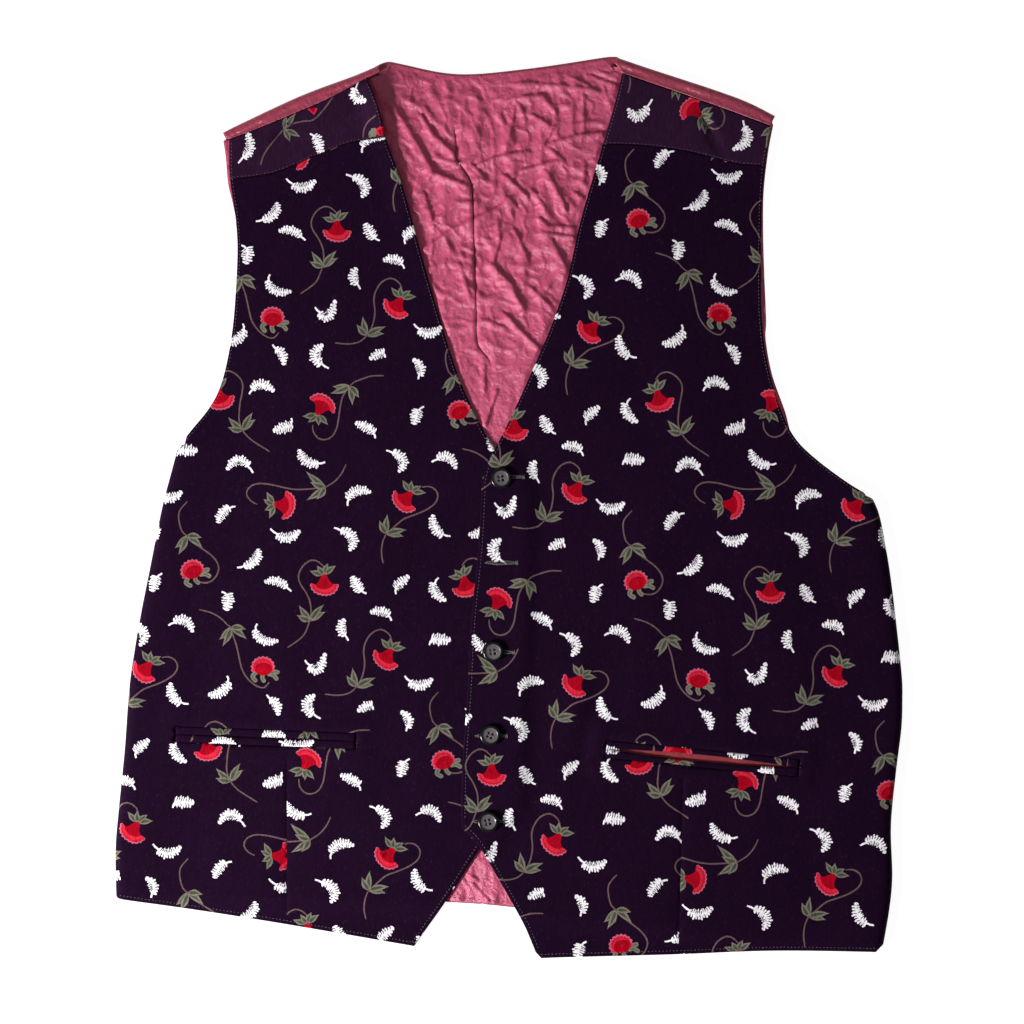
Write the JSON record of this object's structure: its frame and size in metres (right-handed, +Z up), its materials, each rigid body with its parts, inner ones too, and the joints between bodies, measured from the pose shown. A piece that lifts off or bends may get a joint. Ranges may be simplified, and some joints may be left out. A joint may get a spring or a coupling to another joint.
{
  "type": "waistcoat",
  "caption": "Man's V-neck waistcoat laid flat and buttoned, with printed fronts, jetted pockets, a satin back and a crumpled lining.",
  "frame": {"origin": "on the surface that the waistcoat lies on, under the middle of its outline", "axes": "+X to the viewer's right as the front is looked down on, +Y towards the neck, +Z up from the surface"},
  "size_m": [0.5518, 0.6314, 0.0105],
  "materials": {
    "printed_cloth": "matte",
    "satin_back": "satin",
    "lining": "satin",
    "pocket_lining": "satin",
    "button": "gloss"
  },
  "bodies": {
    "root": {"back_left": "satin_back", "back_right": "satin_back", "lining_left": "lining", "lining_right": "lining", "front_left": "printed_cloth", "front_right": "printed_cloth", "yoke_left": "printed_cloth", "yoke_right": "printed_cloth", "pocket_left_upper_lip": "printed_cloth", "pocket_left_lower_lip": "printed_cloth", "pocket_left_lining": "pocket_lining", "pocket_right_upper_lip": "printed_cloth", "pocket_right_lower_lip": "printed_cloth", "pocket_right_lining": "pocket_lining", "button_1": "button", "button_2": "button", "button_3": "button", "button_4": "button"}
  },
  "joints": []
}
